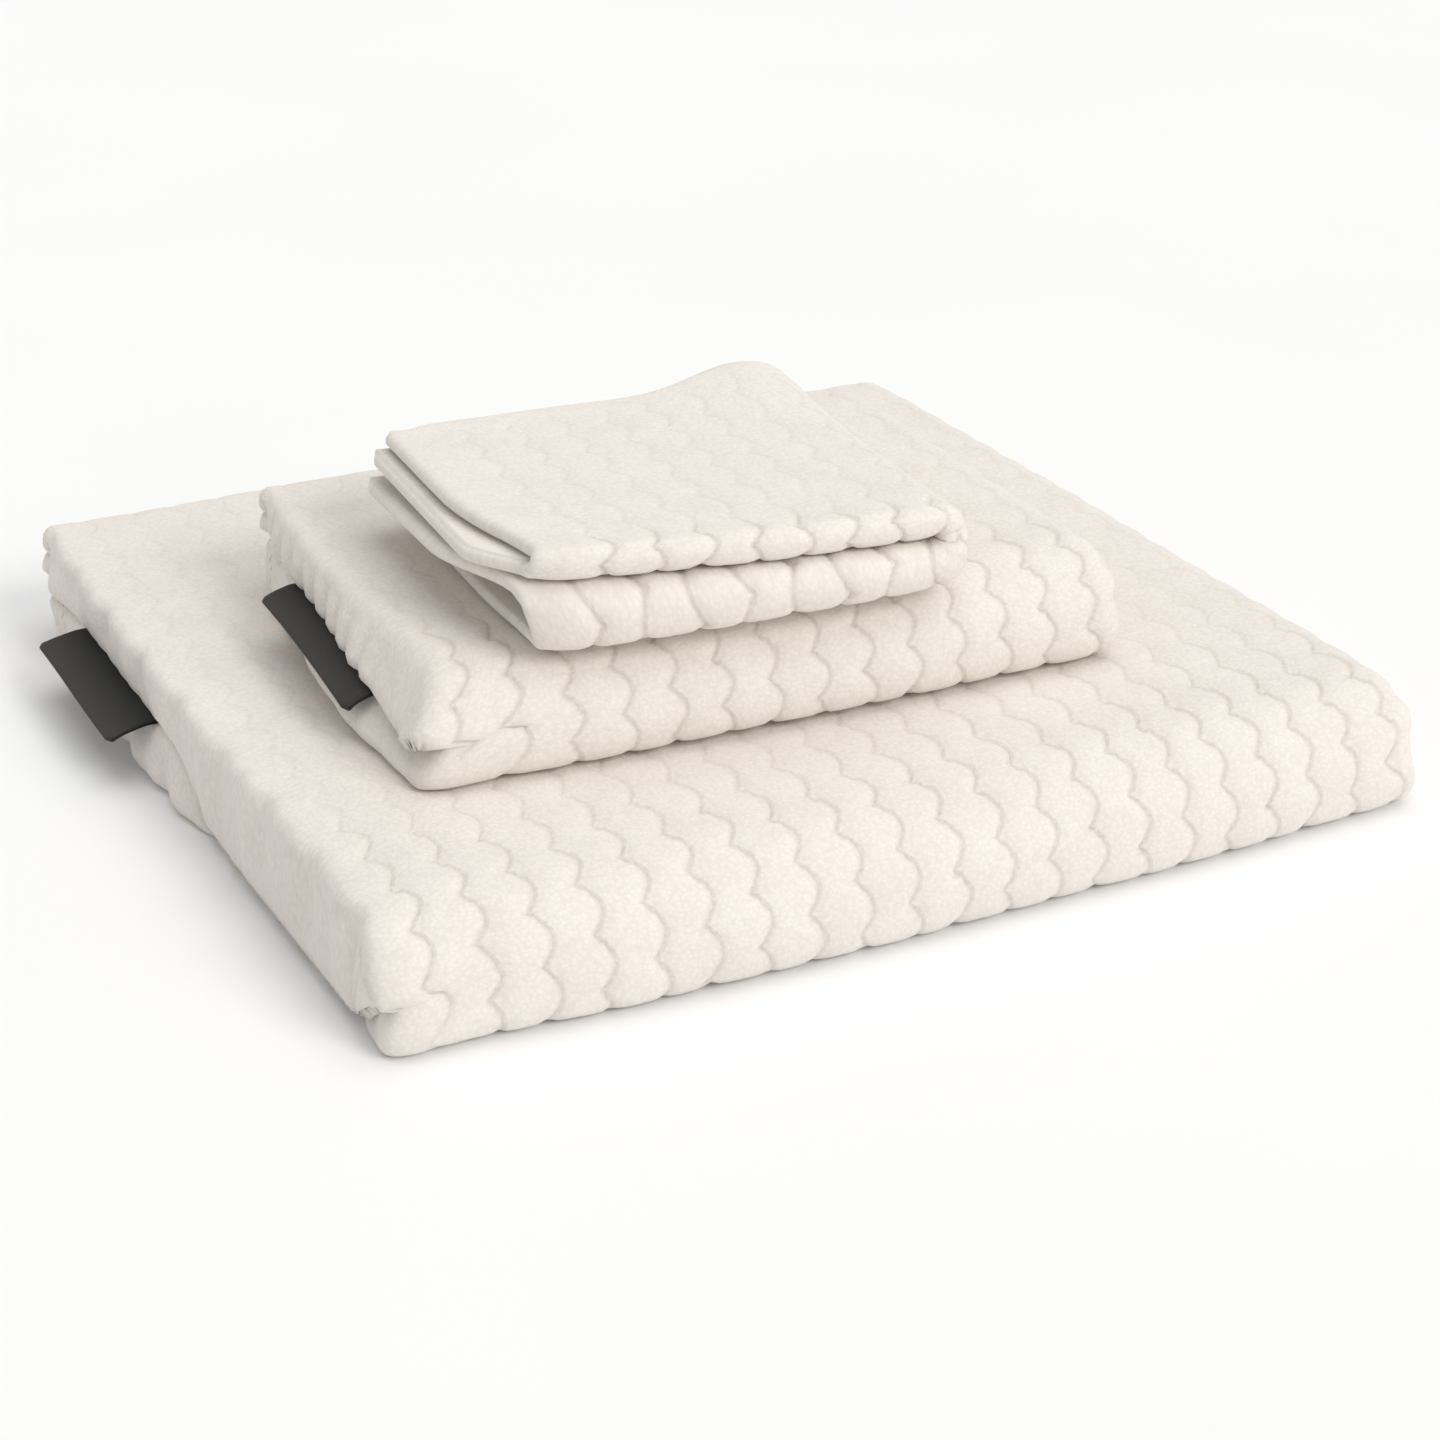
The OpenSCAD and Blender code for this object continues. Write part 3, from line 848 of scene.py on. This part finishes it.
def noise(tree, vector, scale, detail=2.0, roughness=0.5):
    """A noise texture's value."""
    node = tree.nodes.new("ShaderNodeTexNoise")
    node.inputs["Scale"].default_value = scale
    node.inputs["Detail"].default_value = detail
    node.inputs["Roughness"].default_value = roughness
    link(tree, vector, node.inputs["Vector"])
    return node.outputs["Fac"]


def ramp(tree, fac, low, high, colour_low, colour_high):
    """A colour that goes from one to another as fac goes from low to high."""
    node = tree.nodes.new("ShaderNodeValToRGB")
    node.color_ramp.elements[0].position = low
    node.color_ramp.elements[1].position = high
    node.color_ramp.elements[0].color = (*colour_low, 1)
    node.color_ramp.elements[1].color = (*colour_high, 1)
    link(tree, fac, node.inputs["Fac"])
    return node.outputs["Color"]


def bump(tree, height, distance, strength, normal=None):
    """A normal bent by a height, over another one if it is given."""
    node = tree.nodes.new("ShaderNodeBump")
    node.inputs["Distance"].default_value = distance
    node.inputs["Strength"].default_value = strength
    link(tree, height, node.inputs["Height"])
    if normal is not None:
        link(tree, normal, node.inputs["Normal"])
    return node.outputs["Normal"]


def calc(tree, operation, a, b=0.0):
    """One sum in the shader, of two sockets or numbers."""
    node = tree.nodes.new("ShaderNodeMath")
    node.operation = operation
    for socket, value in zip(node.inputs, (a, b)):
        if isinstance(value, float):
            socket.default_value = value
        else:
            link(tree, value, socket)
    return node.outputs["Value"]


def groove_distance(tree, u, v):
    """How far a place on the sheet is from the nearest valley, as in ribs()."""
    first = calc(tree, "FLOOR", calc(tree, "DIVIDE", u, RIB_PITCH))
    across = []
    for step in (0.0, 1.0):
        index = calc(tree, "ADD", first, step)
        start = calc(tree, "FRACT", calc(tree, "MULTIPLY", index, GOLDEN))
        turn = calc(tree, "ADD", calc(tree, "DIVIDE", v, LOBE_LENGTH), start)
        wave = calc(tree, "ABSOLUTE", calc(tree, "SINE", calc(tree, "MULTIPLY", turn, math.pi)))
        valley = calc(tree, "ADD", calc(tree, "MULTIPLY", index, RIB_PITCH),
                      calc(tree, "MULTIPLY", wave, SCALLOP))
        across.append(calc(tree, "ABSOLUTE", calc(tree, "SUBTRACT", u, valley)))
    return calc(tree, "MINIMUM", *across)


def multiply(tree, factor, a, b):
    """Colour a times colour b, by a factor: each is a socket or a constant."""
    node = tree.nodes.new("ShaderNodeMix")
    node.data_type = "RGBA"
    node.blend_type = "MULTIPLY"
    for name, value in (("Factor", factor), ("A", a), ("B", b)):
        if isinstance(value, (float, tuple)):
            node.inputs[name].default_value = value
        else:
            link(tree, value, node.inputs[name])
    return node.outputs["Result"]


def attribute(tree, name):
    """The node that reads one of the mesh's attributes."""
    node = tree.nodes.new("ShaderNodeAttribute")
    node.attribute_name = name
    return node


def terry_material(name, light, dark):
    """Cotton terry: small upright loops with soft shade between them."""
    material, tree, shader = node_material(name)
    where = attribute(tree, "sheet").outputs["Vector"]
    loops = tree.nodes.new("ShaderNodeTexVoronoi")
    loops.inputs["Scale"].default_value = 620.0
    loops.inputs["Randomness"].default_value = 0.9
    link(tree, where, loops.inputs["Vector"])
    fuzz = noise(tree, where, 1500.0, 3.0, 0.6)
    tufts = noise(tree, where, 230.0, 3.0, 0.6)
    shade = noise(tree, where, 45.0, 3.0, 0.55)
    tone = ramp(tree, shade, 0.3, 0.7, dark, light)
    loop_shade = ramp(tree, loops.outputs["Distance"], 0.1, 0.75, (1, 1, 1), (0.84, 0.82, 0.80))
    tint = multiply(tree, 0.5, tone, loop_shade)
    split = tree.nodes.new("ShaderNodeSeparateXYZ")
    link(tree, where, split.inputs["Vector"])
    ribbed = attribute(tree, "ribbed")
    away = groove_distance(tree, split.outputs["X"], split.outputs["Y"])
    # pile is 0 in a valley and 1 from GROOVE_WIDTH away; depth is 0 where the cloth has no ribs
    pile = calc(tree, "MINIMUM", calc(tree, "DIVIDE", away, GROOVE_WIDTH), 1.0)
    depth = calc(tree, "MULTIPLY", calc(tree, "SUBTRACT", 1.0, pile), ribbed.outputs["Fac"])
    # painted shade: the colour is darkened in the valleys between ribs
    groove_painted_shade = calc(tree, "MULTIPLY", depth, GROOVE_SHADE_STRENGTH)
    shaded = multiply(tree, groove_painted_shade, tint, (*GROOVE_SHADE_COLOUR, 1.0))
    link(tree, shaded, shader.inputs["Base Color"])
    ribs_normal = bump(tree, calc(tree, "MULTIPLY", depth, -1.0), 0.0008, 0.5)
    soft = bump(tree, tufts, 0.0008, 0.25, ribs_normal)
    loop_normal = bump(tree, loops.outputs["Distance"], 0.0005, 0.30, soft)
    link(tree, bump(tree, fuzz, 0.0004, 0.35, loop_normal), shader.inputs["Normal"])
    shader.inputs["Roughness"].default_value = 0.95
    shader.inputs["Specular IOR Level"].default_value = 0.2
    shader.inputs["Sheen Weight"].default_value = 0.35
    shader.inputs["Sheen Roughness"].default_value = 0.6
    shader.inputs["Sheen Tint"].default_value = (1.0, 0.98, 0.95, 1.0)
    return material


def thread_material(name, colour):
    """Twisted sewing thread, with a slight gloss."""
    material, tree, shader = node_material(name)
    place = tree.nodes.new("ShaderNodeTexCoord")
    twist = tree.nodes.new("ShaderNodeTexWave")
    twist.inputs["Scale"].default_value = 900.0
    twist.inputs["Distortion"].default_value = 1.5
    link(tree, place.outputs["Object"], twist.inputs["Vector"])
    darker = tuple(c * 0.86 for c in colour)
    tone = ramp(tree, twist.outputs["Fac"], 0.2, 0.8, darker, colour)
    link(tree, tone, shader.inputs["Base Color"])
    link(tree, bump(tree, twist.outputs["Fac"], 0.0001, 0.6), shader.inputs["Normal"])
    shader.inputs["Roughness"].default_value = 0.6
    shader.inputs["Sheen Weight"].default_value = 0.2
    return material


def label_material(name):
    """Charcoal woven tape: fine warp and weft, with a painted highlight along the folded edge."""
    material, tree, shader = node_material(name)
    where = attribute(tree, "sheet").outputs["Vector"]
    split = tree.nodes.new("ShaderNodeSeparateXYZ")
    link(tree, where, split.inputs["Vector"])
    warp = calc(tree, "SINE", calc(tree, "MULTIPLY", split.outputs["X"], 2 * math.pi / WARP_PITCH))
    weft = calc(tree, "SINE", calc(tree, "MULTIPLY", split.outputs["Y"], 2 * math.pi / WEFT_PITCH))
    cross = calc(tree, "MULTIPLY", warp, weft)
    from_fold = calc(tree, "ABSOLUTE", split.outputs["X"])
    # painted highlight: the tape is lighter towards its folded edge
    edge = ramp(tree, from_fold, 0.0, 0.014, (0.045, 0.042, 0.039), (0.014, 0.014, 0.013))
    grain = noise(tree, where, 700.0)
    fleck = ramp(tree, grain, 0.35, 0.65, (0.85, 0.85, 0.85), (1.0, 1.0, 1.0))
    link(tree, multiply(tree, 1.0, edge, fleck), shader.inputs["Base Color"])
    link(tree, bump(tree, cross, 0.00012, 0.7), shader.inputs["Normal"])
    shader.inputs["Roughness"].default_value = 0.75
    shader.inputs["Specular IOR Level"].default_value = 0.25
    shader.inputs["Sheen Weight"].default_value = 0.06
    return material


def paint(piece, material):
    """Gives a piece its one material."""
    piece.data.materials.clear()
    piece.data.materials.append(material)


# ---------------- stage


def make_camera():
    """The camera of the photo's view."""
    az, el = math.radians(AZIMUTH), math.radians(ELEVATION)
    back = Vector((math.sin(az) * math.cos(el), -math.cos(az) * math.cos(el), math.sin(el)))
    data = bpy.data.cameras.new("camera")
    data.sensor_width = SENSOR
    data.lens = LENS
    data.clip_end = 20.0
    camera = bpy.data.objects.new("camera", data)
    camera.location = Vector(TARGET) + back * DISTANCE
    camera.rotation_euler = back.to_track_quat("Z", "Y").to_euler()
    bpy.context.scene.collection.objects.link(camera)
    bpy.context.scene.camera = camera


def make_floor(material):
    """A wide pale floor, just under the towels."""
    half = 40.0
    corners = [(-half, -half, 0), (half, -half, 0), (half, half, 0), (-half, half, 0)]
    floor = new_mesh_object("floor", corners, np.array([[0, 1, 2, 3]]))
    floor.location.z = -0.0002
    paint(floor, material)


def floor_material():
    """Matt white with a faint unevenness."""
    material, tree, shader = node_material("studio_floor")
    place = tree.nodes.new("ShaderNodeTexCoord")
    tone = noise(tree, place.outputs["Object"], 3.0)
    colour = ramp(tree, tone, 0.3, 0.7, (0.90, 0.90, 0.90), (0.92, 0.92, 0.92))
    link(tree, colour, shader.inputs["Base Color"])
    shader.inputs["Roughness"].default_value = 0.9
    return material


def soft_light(name, location, spread, power, colour=(1, 1, 1)):
    """Even light from a far, wide lamp, so that the floor is as bright at the back."""
    data = bpy.data.lights.new(name, "SUN")
    data.angle = math.radians(spread)
    data.energy = power
    data.color = colour
    lamp = bpy.data.objects.new(name, data)
    lamp.location = location
    lamp.rotation_euler = (-Vector(location)).to_track_quat("-Z", "Y").to_euler()
    bpy.context.scene.collection.objects.link(lamp)


def make_lights():
    """A white world and two lamps: one from the front right, one from above."""
    world = bpy.data.worlds.new("studio")
    bpy.context.scene.world = world
    world.use_nodes = True
    background = world.node_tree.nodes["Background"]
    background.inputs["Color"].default_value = (1, 1, 1, 1)
    background.inputs["Strength"].default_value = 0.52
    soft_light("key", (0.7, -1.5, 1.1), 30.0, 1.40, (1.0, 0.99, 0.97))
    soft_light("top", (0.3, 0.1, 1.9), 60.0, 1.00)
    bpy.context.scene.view_settings.view_transform = "Standard"


# ---------------- the set

make_camera()
make_floor(floor_material())
make_lights()

terry = terry_material("cream_terry", (0.86, 0.81, 0.755), (0.82, 0.765, 0.71))

bath = BigTowel("bath_cloth", 0.0, bow=0.008, side_bow=0.006, step=0.034)
bath_cloth = bath.build(
    "bath_towel_cloth", bulge=(0.0085, 0.0035), bulge_y=0.05, bulge_reach=0.20, lean=0.002,
    knuckle=0.006, slit_end=0.036, slit_fall=0.060, slit_front=0.03, sag=0.0008, lip=0.0003,
    wave=0.0011,
)
paint(bath_cloth, terry)
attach(bath_cloth, "bath_towel")
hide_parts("bath_cloth")

hand = BigTowel("hand_cloth", yaw_of("hand_label_bend"), bow=0.003, side_bow=0.003, step=0.016)
hand_cloth = hand.build(
    "hand_towel_cloth", bulge=(0.0115, 0.0035), bulge_y=-0.010, bulge_reach=0.09, lean=0.0085,
    knuckle=0.002, slit_end=0.030, slit_fall=0.130, slit_front=0.05, sag=0.0015, lip=0.0024,
    wave=0.0003,
)
paint(hand_cloth, terry)
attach(hand_cloth, "hand_towel")
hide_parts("hand_cloth")

washcloth = Washcloth()
wash_cloth = washcloth.build("washcloth_cloth")
paint(wash_cloth, terry)
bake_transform(wash_cloth)
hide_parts("washcloth_lower_half", "washcloth_upper_half")

thread = thread_material("hem_thread_cream", (0.80, 0.75, 0.69))
dark_thread = thread_material("label_thread_dark", (0.035, 0.034, 0.033))
tape = label_material("charcoal_tape")


def sewn_label(prefix, towel, out, droop):
    """The label of one big towel, and the stitches that hold it."""
    body, flap = prefix + "_towel", prefix + "_label"
    pos = np.array(joint_named(prefix + "_label_bend")["pos_m"])
    root = turned(pos - towel.centre, -towel.yaw, (0, 0, 0))
    back_y = root[1] + LABEL_LENGTH / 2
    piece = label(prefix + "_towel_label", towel, root[0], back_y, root[2], droop, out)
    paint(piece, tape)
    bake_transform(piece)
    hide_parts(prefix + "_label_tail", prefix + "_label_flap")

    count, margin = 30, 0.003
    rows = np.linspace(back_y - margin, back_y - LABEL_LENGTH + margin, count)
    level = root[2] - towel.h * (0.5 - towel.lower_share(rows))
    lines = []
    for side in (-1, 1):
        at = np.stack([np.full(count, root[0] + 0.009), rows, level + side * 0.0008], 1)
        up = np.tile([0.0, 0.0, float(side)], (count, 1))
        lines.append((turned(at, towel.yaw, towel.centre), turned(up, towel.yaw, (0, 0, 0))))
    name, node = prefix + "_towel_label_stitches", prefix + "_label_stitches"
    sew(name, node, body, lines, (0.004, 0.007, 0.0004), dark_thread)


def big_towel_seams(prefix, towel):
    """The seams of the hems of one big towel."""
    left, right = nearest(towel.u, towel.u[0] + HEM), nearest(towel.u, towel.u[-1] - HEM)
    outer, inner = nearest(towel.v, towel.v[0] + HEM), nearest(towel.v, towel.v[-1] - HEM)
    for name, pick in (
        ("side_seam_outer", np.s_[left, :]),
        ("side_seam_inner", np.s_[right, :]),
        ("end_seam_outer", np.s_[:, outer]),
        ("end_seam_inner", np.s_[:, inner]),
    ):
        piece, body, lines = f"{prefix}_towel_{name}", prefix + "_towel", both_faces(towel, pick)
        size = (0.0030, 0.0042, 0.00035)
        sew(piece, f"{prefix}_{name}", body, lines, size, thread)


for prefix, towel, out, droop in (("bath", bath, 0.015, 12), ("hand", hand, 0.0115, 18)):
    sewn_label(prefix, towel, out, math.radians(droop))
    big_towel_seams(prefix, towel)


def washcloth_trim():
    """The seams of the washcloth's hems, each on the pair of layers that it moves with."""
    towel = washcloth
    i_up, i_low = nearest(towel.u, towel.u[0] + HEM), nearest(towel.u, towel.u[-1] - HEM)
    j_in, j_out = nearest(towel.v, towel.v[0] + HEM), nearest(towel.v, towel.v[-1] - HEM)
    upper, lower = np.flatnonzero(towel.across < -0.9), np.flatnonzero(towel.across > 0.9)
    for name, body, pick in (
        ("side_seam_upper", "washcloth_top", np.s_[i_up, :]),
        ("side_seam_lower", "washcloth", np.s_[i_low, :]),
        ("end_seam_top", "washcloth_top", np.s_[upper, j_out]),
        ("end_seam_upper_middle", "washcloth_top", np.s_[upper, j_in]),
        ("end_seam_lower_middle", "washcloth", np.s_[lower, j_in]),
        ("end_seam_bottom", "washcloth", np.s_[lower, j_out]),
    ):
        node, lines = "washcloth_" + name, both_faces(towel, pick)
        size = (0.0028, 0.0040, 0.00032)
        sew("sewn_" + node, node, body, lines, size, thread)


washcloth_trim()
